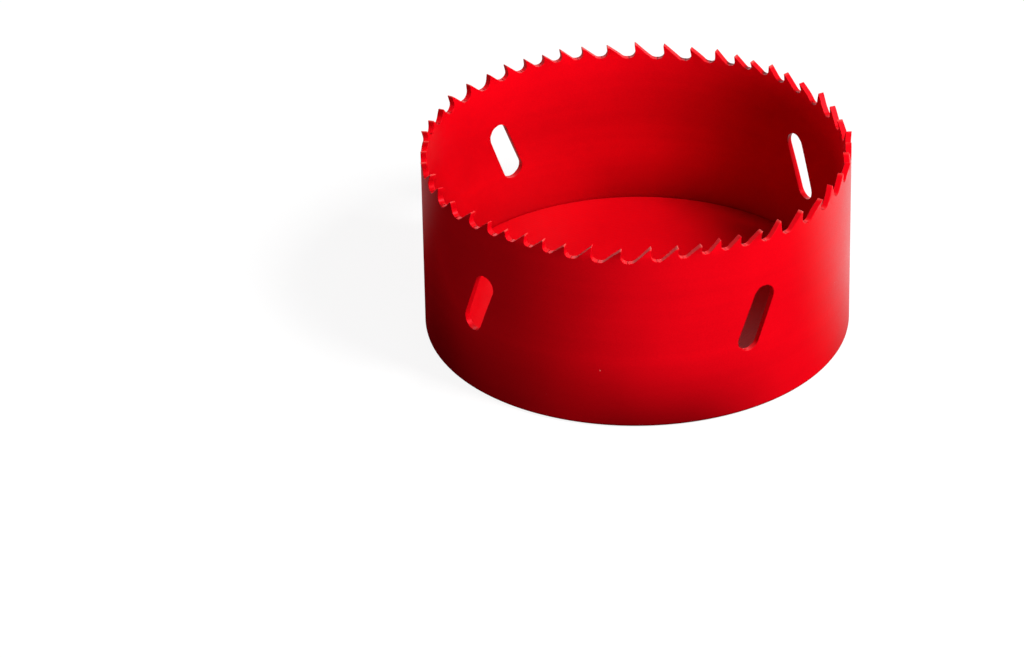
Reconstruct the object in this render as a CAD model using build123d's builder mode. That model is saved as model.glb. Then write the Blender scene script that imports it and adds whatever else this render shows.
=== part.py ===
from build123d import *
import os
from math import cos, degrees, pi, radians, sin, tan

# A bi-metal hole saw of the deep-cup kind: a toothed strip rolled into a band and
# butt-welded, with a thick round plate welded into its back end.
# Millimetres and degrees. The back face lies on Z = 0 and the teeth point up.

# Cup
saw_diameter = 92.0          # over the plain band, below the set teeth
cutting_depth = 38.0         # from the plate's inner face to the tooth tips
band_thickness = 1.3
heel_chamfer = 0.6           # outer corner at the back, dressed after welding
weld_azimuth = -96.8         # where the strip's two ends meet

# Teeth, milled along the strip with a pitch that swings between two values
coarse_pitch = 6.4
fine_pitch = 4.35
teeth_per_wave = 9
first_tooth_arc = 2.2        # from the weld to the first tip, along the strip
depth_per_pitch = 0.52
gullet_radius_per_pitch = 0.24
rake_angle = 6.0             # the cutting face hooks back under its tip
back_angle = 41.0            # the long slope behind the tip, from the horizontal
tip_land = 0.2               # flat left along each tip
tooth_set = 0.45             # how far a tip is bent out of the band
set_sequence = (1, -1, 0)    # outwards, inwards, straight, and again
set_share = 0.85             # bent length, as a share of the shallowest tooth

# Ejector slots, punched in the strip
slot_count = 4
slot_pitch = 74.0            # from slot to slot along the strip
slot_length = 15.2
slot_width = 5.0
slot_lean = 22.0             # from the vertical, the top leading counter-clockwise
slot_height = 22.1           # slot centre above the back face

# Back plate
plate_thickness = 4.8
plate_clearance = 0.05       # radial, inside the band, closed by the weld
plate_chamfer = 0.6          # both rims
arbor_diameter = 15.875      # 5/8 in thread, at its major diameter
arbor_chamfer = 0.8
pin_circle_diameter = 25.4
pin_hole_diameter = 6.8
pin_count = 2

# Worked out
outer_radius = saw_diameter / 2
inner_radius = outer_radius - band_thickness
neutral_radius = (outer_radius + inner_radius) / 2
strip_length = 2 * pi * neutral_radius
tip_height = plate_thickness + cutting_depth
mean_pitch = (coarse_pitch + fine_pitch) / 2
pitch_swing = (coarse_pitch - fine_pitch) / (coarse_pitch + fine_pitch)
tooth_count = round(strip_length / mean_pitch)
bent_length = set_share * depth_per_pitch * fine_pitch
bend_height = tip_height - bent_length
cut_reach = band_thickness + tooth_set


def strip_azimuth(arc):
    # Azimuth of a point that far along the strip from the weld
    return weld_azimuth + degrees(arc / neutral_radius)


def wall_plane(azimuth, height):
    # Tangent to the band's middle surface, facing outwards: x runs counter-clockwise, y up
    a = radians(azimuth)
    centre = (neutral_radius * cos(a), neutral_radius * sin(a), height)
    return Plane(origin=centre, x_dir=(-sin(a), cos(a), 0), z_dir=(cos(a), sin(a), 0))


def section_plane(azimuth):
    # Holds the saw's axis: x runs outwards, y up
    a = radians(azimuth)
    return Plane(origin=(0, 0, 0), x_dir=(cos(a), sin(a), 0), z_dir=(sin(a), -cos(a), 0))


# Pitches swing once every teeth_per_wave teeth, and are trimmed to fill the strip exactly
waves = [1 + pitch_swing * cos(2 * pi * (k + 1) / teeth_per_wave) for k in range(tooth_count)]
pitches = [strip_length * wave / sum(waves) for wave in waves]
tip_arcs = [first_tooth_arc + sum(pitches[:k]) for k in range(tooth_count)]

# Each tooth's blank reaches from behind its bent root to just past its cutting face
blank_behind = tip_land + bent_length / tan(radians(back_angle))
blank_ahead = tip_land
blank_arc = degrees((blank_behind + blank_ahead) / neutral_radius)

with BuildPart() as toothed_band:
    with BuildSketch(Plane.XZ):
        with BuildLine():
            Polyline(
                (inner_radius, 0),
                (outer_radius - heel_chamfer, 0),
                (outer_radius, heel_chamfer),
                (outer_radius, bend_height),
                (inner_radius, bend_height),
                close=True,
            )
        make_face()
    revolve(axis=Axis.Z)

    # Tooth blanks, leaning out, in or straight up from the bend
    for k, arc in enumerate(tip_arcs):
        lean = tooth_set * set_sequence[k % len(set_sequence)]
        with BuildSketch(section_plane(strip_azimuth(arc - blank_behind))):
            with BuildLine():
                Polyline(
                    (inner_radius, bend_height),
                    (outer_radius, bend_height),
                    (outer_radius + lean, tip_height),
                    (inner_radius + lean, tip_height),
                    close=True,
                )
            make_face()
    revolve(axis=Axis.Z, revolution_arc=blank_arc)

    # Gullets, each between one tooth's cutting face and the next tooth's back
    for arc, pitch in zip(tip_arcs, pitches):
        depth = depth_per_pitch * pitch
        half = pitch / 2
        with BuildSketch(wall_plane(strip_azimuth(arc + half), tip_height)):
            with BuildLine():
                FilletPolyline(
                    (tip_land / 2 - half, 0),
                    (tip_land / 2 - half - depth * tan(radians(rake_angle)), -depth),
                    (half - tip_land / 2 - depth / tan(radians(back_angle)), -depth),
                    (half - tip_land / 2, 0),
                    radius=gullet_radius_per_pitch * pitch,
                )
                Polyline(
                    (half - tip_land / 2, 0),
                    (half - tip_land / 2, tooth_set),
                    (tip_land / 2 - half, tooth_set),
                    (tip_land / 2 - half, 0),
                )
            make_face()
    extrude(amount=cut_reach, both=True, mode=Mode.SUBTRACT)

    first_slot_arc = (strip_length - (slot_count - 1) * slot_pitch) / 2
    slot_arcs = [first_slot_arc + k * slot_pitch for k in range(slot_count)]
    with BuildSketch(*[wall_plane(strip_azimuth(arc), slot_height) for arc in slot_arcs]):
        SlotOverall(slot_length, slot_width, rotation=90 - slot_lean)
    extrude(amount=cut_reach, both=True, mode=Mode.SUBTRACT)

with BuildPart() as back_plate:
    with BuildSketch():
        Circle(inner_radius - plate_clearance)
    extrude(amount=plate_thickness)
    chamfer(back_plate.edges().filter_by(GeomType.CIRCLE), plate_chamfer)
    Hole(arbor_diameter / 2)
    chamfer(back_plate.edges(Select.LAST).filter_by(GeomType.CIRCLE), arbor_chamfer)
    with PolarLocations(pin_circle_diameter / 2, pin_count):
        Hole(pin_hole_diameter / 2)

os.makedirs("parts", exist_ok=True)
toothed_band.part.label = "toothed_band"
back_plate.part.label = "back_plate"
export_step(toothed_band.part, "parts/toothed_band.step")
export_step(back_plate.part, "parts/back_plate.step")
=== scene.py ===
import bpy
import math
import numpy as np
from mathutils import Matrix, Vector
from mathutils.geometry import delaunay_2d_cdt


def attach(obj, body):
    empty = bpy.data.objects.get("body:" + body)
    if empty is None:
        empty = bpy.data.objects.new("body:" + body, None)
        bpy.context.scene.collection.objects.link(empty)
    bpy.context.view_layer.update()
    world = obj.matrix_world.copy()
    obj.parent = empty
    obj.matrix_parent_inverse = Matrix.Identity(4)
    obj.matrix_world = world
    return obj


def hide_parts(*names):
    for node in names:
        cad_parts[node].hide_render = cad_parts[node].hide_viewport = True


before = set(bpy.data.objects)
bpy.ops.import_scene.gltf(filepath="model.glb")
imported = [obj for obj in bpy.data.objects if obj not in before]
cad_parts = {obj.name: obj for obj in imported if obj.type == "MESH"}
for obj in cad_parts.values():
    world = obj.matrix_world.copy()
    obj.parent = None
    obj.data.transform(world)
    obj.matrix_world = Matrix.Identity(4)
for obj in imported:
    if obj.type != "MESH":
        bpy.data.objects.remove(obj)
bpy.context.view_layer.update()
print("frame loaded:", sorted(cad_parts))


camera = {
    "lens": 193.36,          # mm
    "sensorWidth": 36,       # mm
    "nearest": 0.05,         # metres, nothing closer is drawn
    "distance": 1.196,       # metres from the middle of the saw's back face
    "elevation": 30.62,      # degrees
    "turn": 1.303,           # degrees to the left, which puts the saw right of centre
    "tilt": 0.128,           # degrees downwards
    "roll": 0.411,           # degrees, its right side dips
}


def makeCamera(c):
    # Aimed at the middle of the back face, then turned, tilted and rolled in that order
    e = math.radians(c["elevation"])
    right = Vector((1, 0, 0))
    ahead = Vector((0, math.cos(e), -math.sin(e)))
    up = right.cross(ahead)
    a, b, r = (math.radians(c[k]) for k in ("turn", "tilt", "roll"))
    x = right * math.cos(a) + ahead * math.sin(a)
    z = ahead * math.cos(a) - right * math.sin(a)
    y = up * math.cos(b) + z * math.sin(b)
    z = z * math.cos(b) - up * math.sin(b)
    x, y = x * math.cos(r) - y * math.sin(r), x * math.sin(r) + y * math.cos(r)
    data = bpy.data.cameras.new("camera")
    data.lens = c["lens"]
    data.sensor_width = c["sensorWidth"]
    data.clip_start = c["nearest"]
    made = bpy.data.objects.new("camera", data)
    axes = Matrix((x, y, -z)).transposed().to_4x4()
    made.matrix_world = Matrix.Translation(-ahead * c["distance"]) @ axes
    bpy.context.scene.collection.objects.link(made)
    bpy.context.scene.camera = made


makeCamera(camera)
print("camera placed")


mm = 0.001
smallest = 1e-12             # keeps a vector of no length from dividing by zero
fillTolerance = 1e-7         # mm, closer points are taken as one
movedTolerance = 1e-4        # mm, how far a fill may shift its points


def unit(v):
    return v / np.maximum(np.linalg.norm(v, axis=-1, keepdims=True), smallest)


def innerSteps(parts):
    # The places between 0 and 1 that cut it into that many equal parts, without its two ends
    return np.linspace(0, 1, parts + 1)[1:-1]


def closedNormals(rows):
    # Normals of a grid whose columns close on themselves: the cross product of the steps
    # along a row and across the rows, taken between each point's two neighbours
    along = np.roll(rows, -1, 1) - np.roll(rows, 1, 1)
    across = np.gradient(rows, axis=0)
    return unit(np.cross(along, across))


def makeMesh(name, points, triangles, quads, normals, material):
    # One mesh from whole arrays: triangles first, then quads, with the worked-out normals kept
    corners = np.concatenate([triangles.ravel(), quads.ravel()]).astype(np.int32)
    sizes = np.concatenate([np.full(len(triangles), 3), np.full(len(quads), 4)]).astype(np.int32)
    starts = np.concatenate([[0], np.cumsum(sizes)[:-1]]).astype(np.int32)
    mesh = bpy.data.meshes.new(name)
    mesh.vertices.add(len(points))
    mesh.vertices.foreach_set("co", (points * mm).astype(np.float32).ravel())
    mesh.loops.add(len(corners))
    mesh.loops.foreach_set("vertex_index", corners)
    mesh.polygons.add(len(sizes))
    mesh.polygons.foreach_set("loop_start", starts)
    mesh.polygons.foreach_set("loop_total", sizes)
    mesh.polygons.foreach_set("use_smooth", np.ones(len(sizes), bool))
    mesh.update(calc_edges=True)
    mesh.validate()
    mesh.normals_split_custom_set_from_vertices(normals.astype(np.float32))
    mesh.materials.append(material)
    made = bpy.data.objects.new(name, mesh)
    bpy.context.scene.collection.objects.link(made)
    return made


def fillFlat(loops, inner, keep):
    # Triangles between the closed loops, through the inner points; keep says which centres stay
    points = np.concatenate(loops + [inner])
    edges, base = [], 0
    for loop in loops:
        ids = base + np.arange(len(loop))
        edges.append(np.stack([ids, np.roll(ids, -1)], 1))
        base += len(loop)
    edges = np.concatenate(edges)
    vectors = [Vector(p) for p in points.tolist()]
    out = delaunay_2d_cdt(vectors, edges.tolist(), [], 1, fillTolerance)
    flat = np.array([tuple(v) for v in out[0]])
    assert len(flat) == len(points) and np.abs(flat - points).max() < movedTolerance
    triangles = np.array(out[2])
    centres = points[triangles].mean(1)
    triangles = triangles[keep(centres)]
    p = points[triangles]
    turn = np.cross(p[:, 1] - p[:, 0], p[:, 2] - p[:, 0])
    triangles[turn < 0] = triangles[turn < 0][:, ::-1]
    return points, triangles


def rimRows(innerRound, outerRound, thickness, steps):
    # An edge's section as rows of (inset, depth): a quarter circle, the wall, a quarter circle
    q = np.linspace(0, np.pi / 2, steps + 1)
    rise, fall = 1 - np.sin(q), 1 - np.cos(q)
    first = np.stack([outerRound * rise, thickness / 2 - outerRound * fall], 1)
    last = np.stack([innerRound * fall, -thickness / 2 + innerRound * rise], 1)
    return np.concatenate([first, last])


band = {
    "radius": 46.0,          # mm, over the plain band
    "thickness": 1.3,
    "weldAzimuth": -96.8,    # degrees, where the strip's two ends meet
    "tipHeight": 42.8,
    "coarsePitch": 6.4,
    "finePitch": 4.35,
    "teethPerWave": 9,
    "firstTip": 2.2,         # from the weld, along the strip
    "depthPerPitch": 0.52,
    "gulletPerPitch": 0.24,
    "rake": 6.0,             # degrees, the cutting face hooks back under its tip
    "back": 41.0,            # degrees, the long slope behind the tip
    "tipLand": 0.2,
    "toothSet": 0.45,
    "setSequence": (1, -1, 0),
    "setShare": 0.85,        # bent length, as a share of the shallowest tooth
    "bendSoftness": 0.02,    # how gently a tooth starts to lean
    "tipRound": 0.13,
    "edgeRound": 0.11,
    "heelRound": 0.75,       # the outer corner at the back
    "cornerSteps": {"foot": 7, "heel": 3, "nose": 5, "hook": 10},
    "slopeParts": 6,
    "faceParts": 4,
    "rimSteps": 4,
    "columnStep": 1.25,
    "rowStep": 2.6,
    "gridBelowTeeth": 0.9,   # the skins' inner points keep this far below the deepest gullet
    "gridOffSlot": 0.35,     # and this far from a slot's rounded edge
    "slotCount": 4,
    "slotPitch": 74.0,
    "slotLength": 15.2,
    "slotWidth": 5.0,
    "slotLean": 22.0,        # degrees from the vertical
    "slotHeight": 22.1,
    "slotCapPoints": 17,
    "slotFlankParts": 7,
}


def roundedCorner(before, corner, after, radius, steps, hollow):
    # A corner of many polylines at once, rounded: a circle of that radius touches both its lines.
    # The normals leave the metal, towards the circle's centre where the corner is hollow
    u, v = unit(before - corner), unit(after - corner)
    half = np.arccos(np.clip((u * v).sum(-1), -1, 1)) / 2
    reach = radius / np.tan(half)
    start, stop = corner + u * reach[:, None], corner + v * reach[:, None]
    centre = corner + unit(u + v) * (radius / np.sin(half))[:, None]
    a, b = start - centre, stop - centre
    sweep = (np.pi - 2 * half)[:, None, None]
    t = np.linspace(0, 1, steps + 1)[None, :, None]
    points = (np.sin((1 - t) * sweep) * a[:, None] + np.sin(t * sweep) * b[:, None]) / np.sin(sweep)
    return centre[:, None] + points, unit(points) * (-1 if hollow else 1)


def toothLine(s):
    # The strip's toothed edge, from the middle of one gullet's floor round to that floor again:
    # each pitch = mean pitch * (1 + swing * cosine of the tooth's place in its wave)
    neutral = s["radius"] - s["thickness"] / 2
    length = 2 * np.pi * neutral
    swing = (s["coarsePitch"] - s["finePitch"]) / (s["coarsePitch"] + s["finePitch"])
    count = round(length / ((s["coarsePitch"] + s["finePitch"]) / 2))
    wave = 1 + swing * np.cos(2 * np.pi * (np.arange(count) + 1) / s["teethPerWave"])
    pitch = length * wave / wave.sum()
    tips = s["firstTip"] + np.concatenate([[0], np.cumsum(pitch)[:-1]])
    rake, back = math.radians(s["rake"]), math.radians(s["back"])
    land, top = s["tipLand"], s["tipHeight"]
    before, after = np.roll(pitch, 1), pitch
    depthBefore, depthAfter = s["depthPerPitch"] * before, s["depthPerPitch"] * after

    def at(x, drop):
        return np.stack([tips + x, top - drop], 1)

    zero = np.zeros(count)
    floorBefore = at(-land / 2 - depthBefore / math.tan(back), depthBefore)
    tipBack = at(-land / 2 + zero, zero)
    tipFront = at(land / 2 + zero, zero)
    floorAfter = at(land / 2 - depthAfter * math.tan(rake), depthAfter)
    nextFloor = at(after - land / 2 - depthAfter / math.tan(back), depthAfter)
    lastFloor = at(land / 2 - before - depthBefore * math.tan(rake), depthBefore)
    middle = (lastFloor + floorBefore) / 2
    tipRound = np.full(count, s["tipRound"])
    footRound, hookRound = s["gulletPerPitch"] * before, s["gulletPerPitch"] * after
    steps = s["cornerSteps"]
    foot, footNormal = roundedCorner(
        lastFloor, floorBefore, tipBack, footRound, steps["foot"], True)
    heel, heelNormal = roundedCorner(
        floorBefore, tipBack, tipFront, tipRound, steps["heel"], False)
    nose, noseNormal = roundedCorner(
        tipBack, tipFront, floorAfter, tipRound, steps["nose"], False)
    hook, hookNormal = roundedCorner(
        tipFront, floorAfter, nextFloor, hookRound, steps["hook"], True)
    t = innerSteps(s["slopeParts"])[None, :, None]
    slope = foot[:, -1:] * (1 - t) + heel[:, :1] * t
    slopeNormal = heelNormal[:, :1] + 0 * slope
    t = innerSteps(s["faceParts"])[None, :, None]
    face = nose[:, -1:] * (1 - t) + hook[:, :1] * t
    faceNormal = noseNormal[:, -1:] + 0 * face
    up = np.array([0.0, 1.0]) + 0 * middle[:, None]
    line = np.concatenate([middle[:, None], foot, slope, heel, nose, face, hook], 1)
    normal = np.concatenate(
        [up, footNormal, slopeNormal, heelNormal, noseNormal, faceNormal, hookNormal], 1
    )
    return line.reshape(-1, 2), normal.reshape(-1, 2), middle[:, 0], length, neutral


def slotAxis(s):
    # The slot's long direction on the flat strip, as (arc, height)
    lean = math.radians(s["slotLean"])
    return np.array([math.sin(lean), math.cos(lean)])


def slotLoop(s, arc):
    # A long slot with round ends, leaning: half circles at the two ends of its centre line
    r = s["slotWidth"] / 2
    axis = slotAxis(s)
    side = np.array([axis[1], -axis[0]])
    reach = s["slotLength"] / 2 - r
    q = np.linspace(0, np.pi, s["slotCapPoints"])[:, None]
    cap = np.cos(q) * side + np.sin(q) * axis
    t = innerSteps(s["slotFlankParts"])[:, None]
    normal = np.concatenate([cap, -side + 0 * t, -cap, side + 0 * t])
    flank = axis * reach * (1 - 2 * t)
    centre = np.concatenate([axis * reach + 0 * cap, flank, -axis * reach + 0 * cap, -flank])
    middle = np.array([arc, s["slotHeight"]])
    return middle + centre + normal * r, -normal


def makeBand(s, material):
    # The strip is laid out flat as (arc, height), filled, then rolled, with
    # azimuth = arc / middle radius. The outer and inner skins are the same fill, joined by
    # rounded rims along the teeth, the slots and the heel
    line, lineNormal, gullets, length, neutral = toothLine(s)
    half, edge = s["thickness"] / 2, s["edgeRound"]
    first = line[0, 0]
    deepest = line[:, 1].min()
    columns = round(length / s["columnStep"])
    arcs = first + length * np.arange(columns + 1) / columns
    rowCount = 1 + round((deepest - s["heelRound"]) / s["rowStep"])
    rows = np.linspace(s["heelRound"], deepest - s["gridBelowTeeth"], rowCount)
    inset = line - lineNormal * edge
    end = inset[0] + [length, 0]
    left = np.stack([np.full(len(rows) - 1, first), rows[1:]], 1)
    right = left + [length, 0]
    bottom = np.stack([arcs, np.full(len(arcs), rows[0])], 1)
    outline = np.concatenate([bottom, right, [end], inset[::-1], left[::-1]])
    firstSlot = (length - (s["slotCount"] - 1) * s["slotPitch"]) / 2
    slotArcs = firstSlot + s["slotPitch"] * np.arange(s["slotCount"])
    slots = [slotLoop(s, arc) for arc in slotArcs]
    slotInset = [points - normal * edge for points, normal in slots]
    gridArc, gridHeight = np.meshgrid(arcs[1:-1], rows[1:])
    grid = np.stack([gridArc.ravel(), gridHeight.ravel()], 1)

    def offSlot(points, reach):
        # True for points farther than reach from every slot's centre line
        axis = slotAxis(s)
        straight = s["slotLength"] / 2 - s["slotWidth"] / 2
        away = points[:, None] - np.stack([slotArcs, np.full(len(slotArcs), s["slotHeight"])], 1)
        along = np.clip(away @ axis, -straight, straight)[..., None]
        return (np.linalg.norm(away - along * axis, axis=-1) > reach).all(1)

    slotHalf = s["slotWidth"] / 2
    grid = grid[offSlot(grid, slotHalf + edge + s["gridOffSlot"])]
    flat, triangles = fillFlat([outline] + slotInset, grid, lambda c: offSlot(c, slotHalf))
    count = len(flat)

    bent = s["setShare"] * s["depthPerPitch"] * s["finePitch"]
    bend = s["tipHeight"] - bent
    setOf = s["toothSet"] * np.array(s["setSequence"], float)

    def roll(arc, height, depth, tooth):
        # Radius = middle radius + depth + the tooth's lean, which grows above the bend from a
        # soft start: set * (u + root of (u squared + softness)) / 2, with u = 0 at the bend
        u = (height - bend) / bent
        lean = setOf[tooth % len(setOf)] * (u + np.sqrt(u * u + s["bendSoftness"])) / 2
        a = math.radians(s["weldAzimuth"]) + arc / neutral
        r = neutral + depth + lean
        return np.stack([r * np.cos(a), r * np.sin(a), height], -1)

    def toothAt(arc):
        return (np.searchsorted(gullets, arc, side="right") - 1) % len(gullets)

    def skin(points, depth):
        # The rolled points, with normals from a tiny step along the strip and one across it
        tooth = toothAt(points[:, 0])
        tiny = 0.01
        p = roll(points[:, 0], points[:, 1], depth, tooth)
        along = roll(points[:, 0] + tiny, points[:, 1], depth, tooth) - p
        across = roll(points[:, 0], points[:, 1] + tiny, depth, tooth) - p
        return p, unit(np.cross(along, across))

    outer, outerNormal = skin(flat, half)
    innerFlat = flat.copy()
    heelIds = np.arange(len(bottom))
    innerFlat[heelIds, 1] = edge
    inner, innerNormal = skin(innerFlat, -half)
    points, normals = [outer, inner], [outerNormal, -innerNormal]
    quads, total = [], 2 * count

    def addRim(ids, line, normal, outerRound, innerRound):
        # Joins the two skins along one closed line, by rows that follow the edge's section
        nonlocal total
        section = rimRows(innerRound, outerRound, s["thickness"], s["rimSteps"])[1:-1]
        tooth = toothAt(line[:, 0])
        body = np.stack([
            roll(*(line - normal * inset).T, depth, tooth) for inset, depth in section
        ])
        rowNormals = closedNormals(np.concatenate([outer[ids][None], body, inner[ids][None]]))
        nudge = 0.1
        outward = roll(*(line + normal * nudge).T, 0.0, tooth) - roll(*line.T, 0.0, tooth)
        flip = (rowNormals[len(section) // 2] * outward).sum() < 0
        if flip:
            rowNormals = -rowNormals
        n = len(ids)
        bodyIds = total + np.arange(n * len(section)).reshape(-1, n)
        rimIds = np.concatenate([ids[None], bodyIds, count + ids[None]])
        a, b = rimIds[:-1], rimIds[1:]
        c, d = np.roll(b, -1, 1), np.roll(a, -1, 1)
        quads.append(np.stack([a, b, c, d] if flip else [a, d, c, b], -1).reshape(-1, 4))
        points.append(body.reshape(-1, 3))
        normals.append(rowNormals[1:-1].reshape(-1, 3))
        total += n * len(section)

    lineStart = len(bottom) + len(right) + 1
    lineIds = lineStart + np.arange(len(line))[::-1]
    addRim(lineIds, line, lineNormal, edge, edge)
    heel = np.stack([arcs[:-1], np.zeros(columns)], 1)
    addRim(heelIds[:-1], heel, np.tile([0.0, -1.0], (columns, 1)), s["heelRound"], edge)
    base = len(outline)
    for outlineOfSlot, normal in slots:
        addRim(base + np.arange(len(normal)), outlineOfSlot, normal, edge, edge)
        base += len(normal)

    # The right end of the strip becomes its left end
    twin = np.arange(total)
    rightInner = len(bottom) + np.arange(len(right))
    leftInner = len(outline) - 1 - np.arange(len(left))
    rightIds = np.concatenate([[len(bottom) - 1], rightInner, [lineStart - 1]])
    leftIds = np.concatenate([[0], leftInner, [lineIds[0]]])
    twin[rightIds], twin[count + rightIds] = leftIds, count + leftIds
    triangles = np.concatenate([triangles, triangles[:, ::-1] + count])
    return makeMesh("set_toothed_band", np.concatenate(points), twin[triangles],
                    twin[np.concatenate(quads)], np.concatenate(normals), material)


plate = {
    "radius": 44.65,         # mm
    "thickness": 4.8,
    "rimRound": 0.6,
    "topRound": 0.6,
    "arborRadius": 7.9375,
    "arborChamfer": 0.8,
    "threadPitch": 25.4 / 18,
    "threadHeight": 0.69,
    "threadRows": 49,
    "ridgeSlope": 1.5,       # how steep the ridge's flanks are
    "ridgeCut": 0.12,        # widens the groove between ridges
    "ridgeFade": 0.4,        # pitches over which the ridge runs out at both ends
    "leadWidth": 0.06,       # eases the chamfer into the flat face
    "leadDrop": 0.025,
    "leadFoot": 0.02,        # and into the bore
    "pinCircle": 25.4,
    "pinRadius": 3.4,
    "pinEdge": 0.12,
    "fillSlack": 0.01,       # how far inside the arbor's edge a filled triangle may be centred
    "rimPoints": 288,
    "arborPoints": 144,
    "pinPoints": 56,
    "innerRings": (20.0, 26.0, 32.0, 38.0),
    "ringPoints": 72,
    "rimSteps": 6,
    "pinSteps": 3,
}


def ring(radius, count, middle=(0, 0)):
    # Points round a circle: middle + radius * (cosine, sine) of equal angles
    a = 2 * np.pi * np.arange(count) / count
    return np.array(middle) + radius * np.stack([np.cos(a), np.sin(a)], 1)


def threadedRows(s, count):
    # Bore radius = thread radius less its ridge: a flat-topped wave of (height / pitch - turn),
    # which fades at both ends of the bore; the chamfers above and below are straight cones
    top, cone, foot = s["thickness"] / 2, s["arborChamfer"], s["leadFoot"]
    heights = np.linspace(top - cone, cone - top, s["threadRows"])
    turn = np.arange(count) / count
    wave = np.abs(((heights[:, None] / s["threadPitch"] - turn) % 1) - 0.5) * 2
    ridge = np.clip((1 - wave) * s["ridgeSlope"] - s["ridgeCut"], 0, 1)
    fadeLength = s["ridgeFade"] * s["threadPitch"]
    fade = np.clip((heights[0] - np.abs(heights)) / fadeLength, 0, 1)[:, None]
    radius = s["arborRadius"] - s["threadHeight"] * ridge * fade
    lead = np.array([
        [cone + s["leadWidth"], top],
        [cone, top - s["leadDrop"]],
        [foot, top - cone + foot],
    ])
    upper = s["arborRadius"] + lead[:, :1] + 0 * turn
    radius = np.concatenate([upper, radius, upper[::-1]])
    height = np.concatenate([lead[:, 1], heights, -lead[::-1, 1]])
    return radius, height


def makePlate(s, material):
    # Two flat fills, joined by rounded rims, and by a threaded wall in the middle
    half = s["thickness"] / 2
    radius, height = threadedRows(s, s["arborPoints"])
    pins = [(s["pinCircle"] / 2, 0), (-s["pinCircle"] / 2, 0)]
    loops = [ring(s["radius"] - s["topRound"], s["rimPoints"])]
    loops += [ring(radius[0, 0], s["arborPoints"])]
    loops += [ring(s["pinRadius"] + s["pinEdge"], s["pinPoints"], pin) for pin in pins]
    inner = np.concatenate([ring(r, s["ringPoints"]) for r in s["innerRings"]])

    def inMetal(centres):
        # True outside the arbor hole and both pin holes
        away = [np.linalg.norm(centres, axis=1) > radius[0, 0] - s["fillSlack"]]
        away += [np.linalg.norm(centres - pin, axis=1) > s["pinRadius"] for pin in pins]
        return np.all(away, 0)

    flat, triangles = fillFlat(loops, inner, inMetal)
    count = len(flat)
    lift = half + np.zeros((count, 1))
    below = flat.copy()
    below[:s["rimPoints"]] *= (s["radius"] - s["rimRound"]) / (s["radius"] - s["topRound"])
    points = [np.hstack([flat, lift]), np.hstack([below, -lift])]
    up = np.tile([0.0, 0.0, 1.0], (count, 1))
    normals, quads, total, base = [up, -up], [], 2 * count, 0
    rim = rimRows(s["rimRound"], s["topRound"], s["thickness"], s["rimSteps"])
    pinRim = rimRows(s["pinEdge"], s["pinEdge"], s["thickness"], s["pinSteps"])
    rimRadii = s["radius"] - rim[:, :1] + np.zeros((1, s["rimPoints"]))
    pinRadii = s["pinRadius"] + pinRim[:, :1] + np.zeros((1, s["pinPoints"]))
    walls = [
        (rimRadii, rim[:, 1], (0, 0), False),
        (radius, height, (0, 0), True),
        *[(pinRadii, pinRim[:, 1], pin, True) for pin in pins],
    ]
    for radii, heights, middle, hole in walls:
        n = radii.shape[1]
        a = 2 * np.pi * np.arange(n) / n
        grid = np.stack([middle[0] + radii * np.cos(a), middle[1] + radii * np.sin(a),
                         heights[:, None] + 0 * a], -1)
        facing = -closedNormals(grid) if not hole else closedNormals(grid)
        ids = base + np.arange(n)
        wallIds = total + np.arange(n * (len(grid) - 2)).reshape(-1, n)
        rows = np.concatenate([ids[None], wallIds, count + ids[None]])
        p, q = rows[:-1], rows[1:]
        r, t = np.roll(q, -1, 1), np.roll(p, -1, 1)
        quads.append(np.stack([p, q, r, t] if not hole else [p, t, r, q], -1).reshape(-1, 4))
        points.append(grid[1:-1].reshape(-1, 3))
        normals.append(facing[1:-1].reshape(-1, 3))
        total += n * (len(grid) - 2)
        base += n
    triangles = np.concatenate([triangles, triangles[:, ::-1] + count])
    points = np.concatenate(points) + [0, 0, half]
    return makeMesh("threaded_plate", points, triangles, np.concatenate(quads),
                    np.concatenate(normals), material)


weldBead = {
    "radius": 44.4,          # mm
    "height": 0.33,
    "tube": 0.31,
    "ripples": 260,
    "ripple": 0.045,
    "stepsPerRipple": 4,
    "tubePoints": 10,
}


def makeBead(s, material):
    # A ring carried round the back: tube radius swells once per ripple of the weld
    steps = s["ripples"] * s["stepsPerRipple"]
    a = 2 * np.pi * np.arange(steps) / steps
    b = 2 * np.pi * np.arange(s["tubePoints"]) / s["tubePoints"]
    swell = s["tube"] - s["ripple"] * (0.5 - 0.5 * np.cos(a * s["ripples"]))
    r = s["radius"] + np.cos(b)[:, None] * swell
    z = s["height"] + np.sin(b)[:, None] * swell
    grid = np.stack([r * np.cos(a), r * np.sin(a), z], -1)
    along = np.roll(grid, -1, 1) - np.roll(grid, 1, 1)
    across = np.roll(grid, -1, 0) - np.roll(grid, 1, 0)
    ids = np.arange(len(a) * len(b)).reshape(len(b), len(a))
    up, on = np.roll(ids, -1, 0), np.roll(ids, -1, 1)
    quads = np.stack([ids, on, np.roll(up, -1, 1), up], -1).reshape(-1, 4)
    none = np.zeros((0, 3), int)
    return makeMesh("back_weld", grid.reshape(-1, 3), none, quads,
                    unit(np.cross(along, across)).reshape(-1, 3), material)


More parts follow.
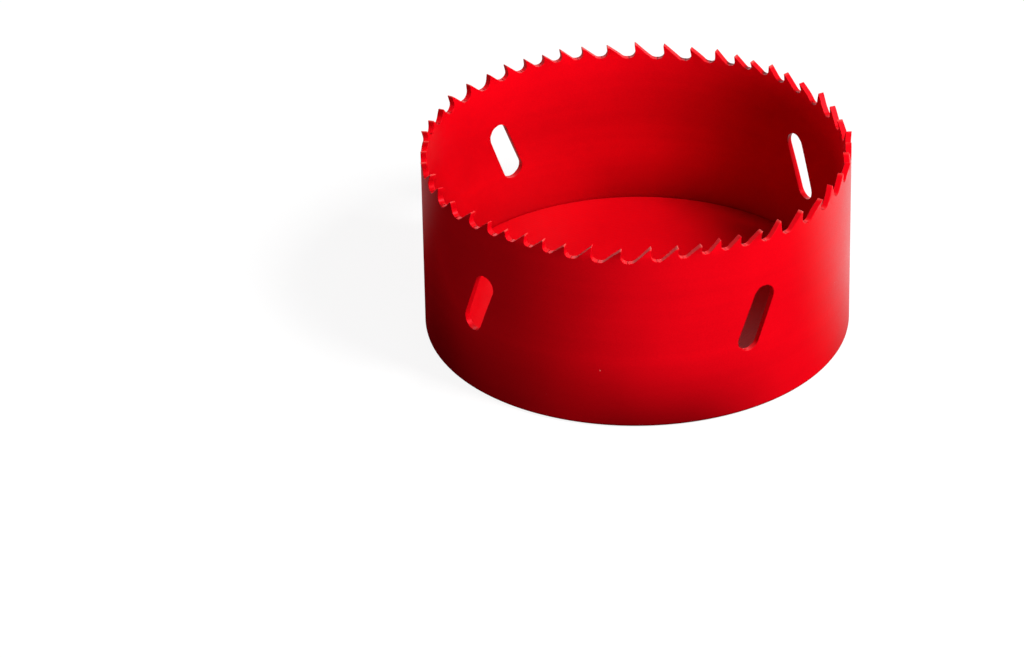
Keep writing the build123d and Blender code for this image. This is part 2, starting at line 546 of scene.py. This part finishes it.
class Socket:
    # One output of a node; sums and products of sockets add Math nodes
    def __init__(self, tree, link):
        self.tree, self.link = tree, link

    def maths(self, operation, *values):
        return self.node("ShaderNodeMath", {"operation": operation}, dict(enumerate(values)))

    def node(self, kind, settings, values, output=0):
        # Adds a node: its settings first, then a link or a value for each named socket
        made = self.tree.nodes.new(kind)
        for key, value in settings.items():
            setattr(made, key, value)
        for key, value in values.items():
            target = made.inputs[key]
            if isinstance(value, Socket):
                self.tree.links.new(value.link, target)
            else:
                target.default_value = value
        return Socket(self.tree, made.outputs[output])

    def __add__(self, other):
        return self.maths("ADD", self, other)

    def __sub__(self, other):
        return self.maths("SUBTRACT", self, other)

    def __rsub__(self, other):
        return self.maths("SUBTRACT", other, self)

    def __mul__(self, other):
        return self.maths("MULTIPLY", self, other)

    def __gt__(self, other):
        return self.maths("GREATER_THAN", self, other)

    def span(self, low, high):
        # 0 at low, 1 at high, eased between
        return self.node("ShaderNodeMapRange", {"interpolation_type": "SMOOTHSTEP"},
                         {"Value": self, "From Min": low, "From Max": high})

    __radd__, __rmul__ = __add__, __mul__


def mixColour(mask, low, high):
    # The Mix node's colour sockets are its seventh and eighth, and its colour comes out third
    colour = {"data_type": "RGBA"}
    return mask.node("ShaderNodeMix", colour, {0: mask, 6: low, 7: high}, 2)


def noise(place, scale, detail):
    return place.node("ShaderNodeTexNoise", {}, {"Vector": place, "Scale": scale, "Detail": detail})


enamel = {
    "red": (0.63, 0.0006, 0.0050, 1),
    "deepRed": (0.52, 0.0004, 0.0042, 1),
    # Pale pink for chips, and for tips paled partly by wear and partly by a painted highlight
    "chipAndGlint": (0.80, 0.20, 0.17, 1),
    # The darkest red of the painted shade, at the heel
    "paintedShadeRed": (0.16, 0.0002, 0.0015, 1),
    "mottle": {"scale": 70.0, "detail": 4.0, "tone": 0.5, "rough": 0.16},
    "streaks": {"stretch": (18.0, 18.0, 420.0), "detail": 3.0, "tone": 0.3, "relief": 0.25},
    "peel": {"scale": 950.0, "detail": 2.0, "relief": 0.6},
    "grain": {"scale": 3200.0, "detail": 2.0, "tone": 0.5, "rough": 0.25, "relief": 0.35},
    "toneSpan": (0.2, 0.8),
    "chips": {"scale": 260.0, "rare": 0.965, "edge": (0.03, 0.055), "pale": 0.7, "relief": 1.5},
    # Tooth tips paled: partly wear of the paint, partly a painted highlight
    "tips": {"span": (0.04235, 0.0428), "mottle": (0.42, 0.62), "pale": 0.35},
    # The painted shade climbs this far from the heel, and twice as far at the far left
    "paintedShadeReach": 0.0165,
    "paintedShadeClimb": (-0.0445, -0.036),
    # The painted shade is weaker by this share between two edges on the left, and gone on the right
    "patchStart": (-0.044, -0.030),
    "patchEnd": (-0.018, -0.002),
    "patchShare": 0.4,
    "paintedShadeEnd": (0.010, 0.040),
    "turning": {"perMetre": 9000.0, "relief": 0.12},
    "bump": {"strength": 0.35, "distance": 0.00006},
    "roughness": 0.36,
    "specular": 0.5,
    "specularTint": (1.0, 0.05, 0.08, 1),
}


def makeEnamel(name, turned):
    # Red baked enamel: a slow mottle, faint streaks round the saw, orange peel, grain, small
    # chips, and tips paled partly by wear and partly by a painted highlight. The band also has
    # painted shade, darker towards its heel, and the plate, which is turned, has fine rings: the
    # sine of the distance from the axis
    e = enamel
    mottled, streaked, peeled, grained = e["mottle"], e["streaks"], e["peel"], e["grain"]
    chipped, wornAndGlint = e["chips"], e["tips"]
    material = bpy.data.materials.new(name)
    material.use_nodes = True
    tree = material.node_tree
    shader = tree.nodes["Principled BSDF"]
    start = Socket(tree, None)
    place = start.node("ShaderNodeTexCoord", {}, {}, "Object")
    x = place.node("ShaderNodeSeparateXYZ", {}, {"Vector": place}, "X")
    height = place.node("ShaderNodeSeparateXYZ", {}, {"Vector": place}, "Z")
    mottle = noise(place, mottled["scale"], mottled["detail"])
    stretched = place.node("ShaderNodeMapping", {}, {"Vector": place, "Scale": streaked["stretch"]})
    streaks = noise(stretched, 1.0, streaked["detail"])
    peel = noise(place, peeled["scale"], peeled["detail"])
    grain = noise(place, grained["scale"], grained["detail"])
    cells = {"Vector": place, "Scale": chipped["scale"], "Randomness": 1.0}
    dot = place.node("ShaderNodeTexVoronoi", {}, cells, "Distance")
    pick = place.node("ShaderNodeTexVoronoi", {}, cells, "Color")
    pick = place.node("ShaderNodeSeparateColor", {}, {"Color": pick}, 0)
    tone = ((mottle - 0.5) * mottled["tone"] + (streaks - 0.5) * streaked["tone"]
            + (grain - 0.5) * grained["tone"] + 0.5)
    colour = mixColour(tone.span(*e["toneSpan"]), e["deepRed"], e["red"])
    if not turned:
        # Painted shade: the band's colour is darker towards its heel, except on its right side
        rise = height * (0.5 + x.span(*e["paintedShadeClimb"]) * 0.5)
        climb = place.node("ShaderNodeMapRange", {}, {"Value": rise, "From Max": e["paintedShadeReach"]})
        patch = 1 - x.span(*e["patchStart"]) * (1 - x.span(*e["patchEnd"])) * e["patchShare"]
        shadeMask = (1 - climb) * (1 - x.span(*e["paintedShadeEnd"])) * patch
        colour = mixColour(shadeMask, colour, e["paintedShadeRed"])
    chips = (pick > chipped["rare"]) * (1 - dot.span(*chipped["edge"]))
    # Tooth tips paled towards pale pink: partly wear of the paint, partly a painted highlight
    tips = height.span(*wornAndGlint["span"]) * mottle.span(*wornAndGlint["mottle"]) * wornAndGlint["pale"]
    colour = mixColour(chips * chipped["pale"] + tips, colour, e["chipAndGlint"])
    tree.links.new(colour.link, shader.inputs["Base Color"])
    roughness = ((mottle - 0.5) * mottled["rough"] + (grain - 0.5) * grained["rough"]
                 + e["roughness"])
    tree.links.new(roughness.link, shader.inputs["Roughness"])
    shader.inputs["Specular IOR Level"].default_value = e["specular"]
    shader.inputs["Specular Tint"].default_value = e["specularTint"]
    relief = (peel * peeled["relief"] + grain * grained["relief"]
              + streaks * streaked["relief"] - chips * chipped["relief"])
    if turned:
        flat = place.node("ShaderNodeMapping", {}, {"Vector": place, "Scale": (1.0, 1.0, 0.0)})
        away = place.node("ShaderNodeVectorMath", {"operation": "LENGTH"}, {0: flat}, "Value")
        rings = place.maths("SINE", away * e["turning"]["perMetre"])
        relief = relief + rings * e["turning"]["relief"]
    bump = place.node("ShaderNodeBump", {}, {
        "Strength": e["bump"]["strength"], "Distance": e["bump"]["distance"], "Height": relief})
    tree.links.new(bump.link, shader.inputs["Normal"])
    return material


bandEnamel = makeEnamel("bandEnamel", False)
plateEnamel = makeEnamel("plateEnamel", True)

bandPiece = makeBand(band, bandEnamel)
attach(bandPiece, "root")
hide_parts("toothed_band")
print("band rolled:", len(bandPiece.data.polygons), "faces")

platePiece = makePlate(plate, plateEnamel)
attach(platePiece, "root")
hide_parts("back_plate")
print("plate cut:", len(platePiece.data.polygons), "faces")

beadPiece = makeBead(weldBead, plateEnamel)
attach(beadPiece, "root")
print("back weld laid:", len(beadPiece.data.polygons), "faces")


# Places and sizes in metres, power in watts; a lamp that isn't mirrored shows in no highlight
lamps = {
    "keyLight": {
        "place": (0.468, -0.281, 0.585), "size": (0.26, 0.26), "power": 9.8, "mirrored": True},
    "frontFill": {
        "place": (0.335, -0.718, 0.111), "size": (0.5, 0.12), "power": 3.9, "mirrored": False},
    "leftFill": {
        "place": (-0.718, 0.335, 0.111), "size": (0.4, 0.12), "power": 2.3, "mirrored": False},
    "backFill": {
        "place": (0.10, 0.78, 0.12), "size": (0.4, 0.12), "power": 2.2, "mirrored": False},
    "backLight": {
        "place": (-0.12, 0.67, 0.42), "size": (0.36, 0.36), "power": 0.4, "mirrored": True},
}
lampAim = Vector((0, 0, 0.02))


def addLamp(name, s):
    data = bpy.data.lights.new(name, "AREA")
    data.shape = "RECTANGLE"
    data.size, data.size_y = s["size"]
    data.energy = s["power"]
    made = bpy.data.objects.new(name, data)
    made.location = s["place"]
    made.visible_glossy = s["mirrored"]
    made.rotation_euler = (lampAim - made.location).to_track_quat("-Z", "Y").to_euler()
    bpy.context.scene.collection.objects.link(made)


for name, lamp in lamps.items():
    addLamp(name, lamp)

paperTones = {
    "size": 8,               # metres
    "drop": 0.0002,          # below the saw's back face
    "seen": 1.08,
    "shadowed": 0.17,        # share of the seen white that shade can darken
    "lit": (0.8, 0.8, 0.8, 1),
    "bounced": (0.05, 0.05, 0.05, 1),
    # How bright each half is in reflections, and the depths between which it gets so
    "leftMirrored": (0.2, 0.024, 0.056),
    "rightMirrored": (1.0, -0.030, 0.028),
    "halves": (-0.03, 0.03),
}


def rayOf(start, kinds):
    # 1 for a ray of any of these kinds, 0 for the others
    rays = [start.node("ShaderNodeLightPath", {}, {}, kind) for kind in kinds]
    total = rays[0]
    for ray in rays[1:]:
        total = total.maths("MAXIMUM", total, ray)
    return total


def makeFloor(s):
    # The paper is white to the camera and keeps a light shadow. In reflections it glows in two
    # tones of its own, black near the saw's front and brighter behind, more so on the right
    bpy.ops.mesh.primitive_plane_add(size=s["size"], location=(0, 0, -s["drop"]))
    floor = bpy.context.object
    floor.name = "floor"
    paper = bpy.data.materials.new("paleFloor")
    paper.use_nodes = True
    tree = paper.node_tree
    tree.nodes.remove(tree.nodes["Principled BSDF"])
    start = Socket(tree, None)
    camera = rayOf(start, ("Is Camera Ray", "Is Transmission Ray"))
    glossy = rayOf(start, ("Is Glossy Ray",))
    place = start.node("ShaderNodeTexCoord", {}, {}, "Object")
    across = start.node("ShaderNodeSeparateXYZ", {}, {"Vector": place}, "X")
    depth = start.node("ShaderNodeSeparateXYZ", {}, {"Vector": place}, "Y")
    halves = (s["leftMirrored"], s["rightMirrored"])
    left, right = (depth.span(low, high) * bright for bright, low, high in halves)
    side = across.span(*s["halves"])
    glow = left * (1 - side) + right * side
    lit = start.node("ShaderNodeBsdfDiffuse", {}, {"Color": s["lit"]})
    white = start.node("ShaderNodeEmission", {}, {"Strength": s["seen"]})
    seen = start.node("ShaderNodeMixShader", {}, {0: s["shadowed"], 1: white, 2: lit})
    bounced = start.node("ShaderNodeBsdfDiffuse", {}, {"Color": s["bounced"]})
    mirrored = start.node("ShaderNodeEmission", {}, {"Strength": glow})
    hidden = start.node("ShaderNodeMixShader", {}, {0: glossy, 1: bounced, 2: mirrored})
    whole = start.node("ShaderNodeMixShader", {}, {0: camera, 1: hidden, 2: seen})
    tree.links.new(whole.link, tree.nodes["Material Output"].inputs["Surface"])
    floor.data.materials.append(paper)


makeFloor(paperTones)

worldTones = {"seen": 1.0, "lit": 0.01}
world = bpy.data.worlds.new("world")
bpy.context.scene.world = world
world.use_nodes = True
sky = Socket(world.node_tree, None)
seen = rayOf(sky, ("Is Camera Ray", "Is Glossy Ray", "Is Transmission Ray"))
strength = seen * (worldTones["seen"] - worldTones["lit"]) + worldTones["lit"]
background = world.node_tree.nodes["Background"]
background.inputs["Color"].default_value = (1, 1, 1, 1)
world.node_tree.links.new(strength.link, background.inputs["Strength"])
bpy.context.scene.view_settings.view_transform = "Standard"
print("light set")
